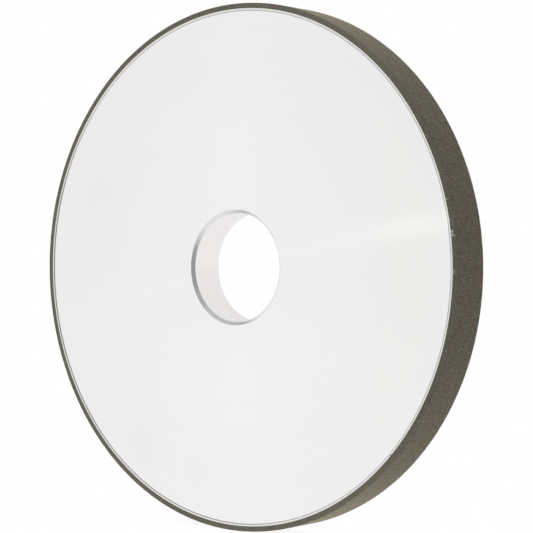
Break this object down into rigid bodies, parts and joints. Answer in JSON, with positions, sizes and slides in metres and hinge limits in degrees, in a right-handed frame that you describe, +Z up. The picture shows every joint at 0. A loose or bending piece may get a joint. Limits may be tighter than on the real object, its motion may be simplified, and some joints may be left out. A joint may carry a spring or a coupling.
{
  "type": "diamond grinding wheel",
  "caption": "Straight grinding wheel: a flat turned aluminium disc with a chamfered central bore, and a thin rim of diamond grit in resin that grinds on its outside.",
  "frame": {"origin": "centre of the wheel: on the bore's axis, halfway across its width", "axes": "+Y along the spin axis, +Z up, +X to the right when the face at -Y is looked at"},
  "size_m": [0.1524, 0.0126, 0.1524],
  "materials": {
    "core": "bright, faced on a lathe, with fine concentric turning marks",
    "bond": "cured adhesive, dull",
    "abrasive": "dressed, matt and gritty, with fine glints from the diamond grains"
  },
  "bodies": {
    "root": {"core_disc": "core", "bond_film": "bond", "abrasive_rim": "abrasive"}
  },
  "joints": []
}
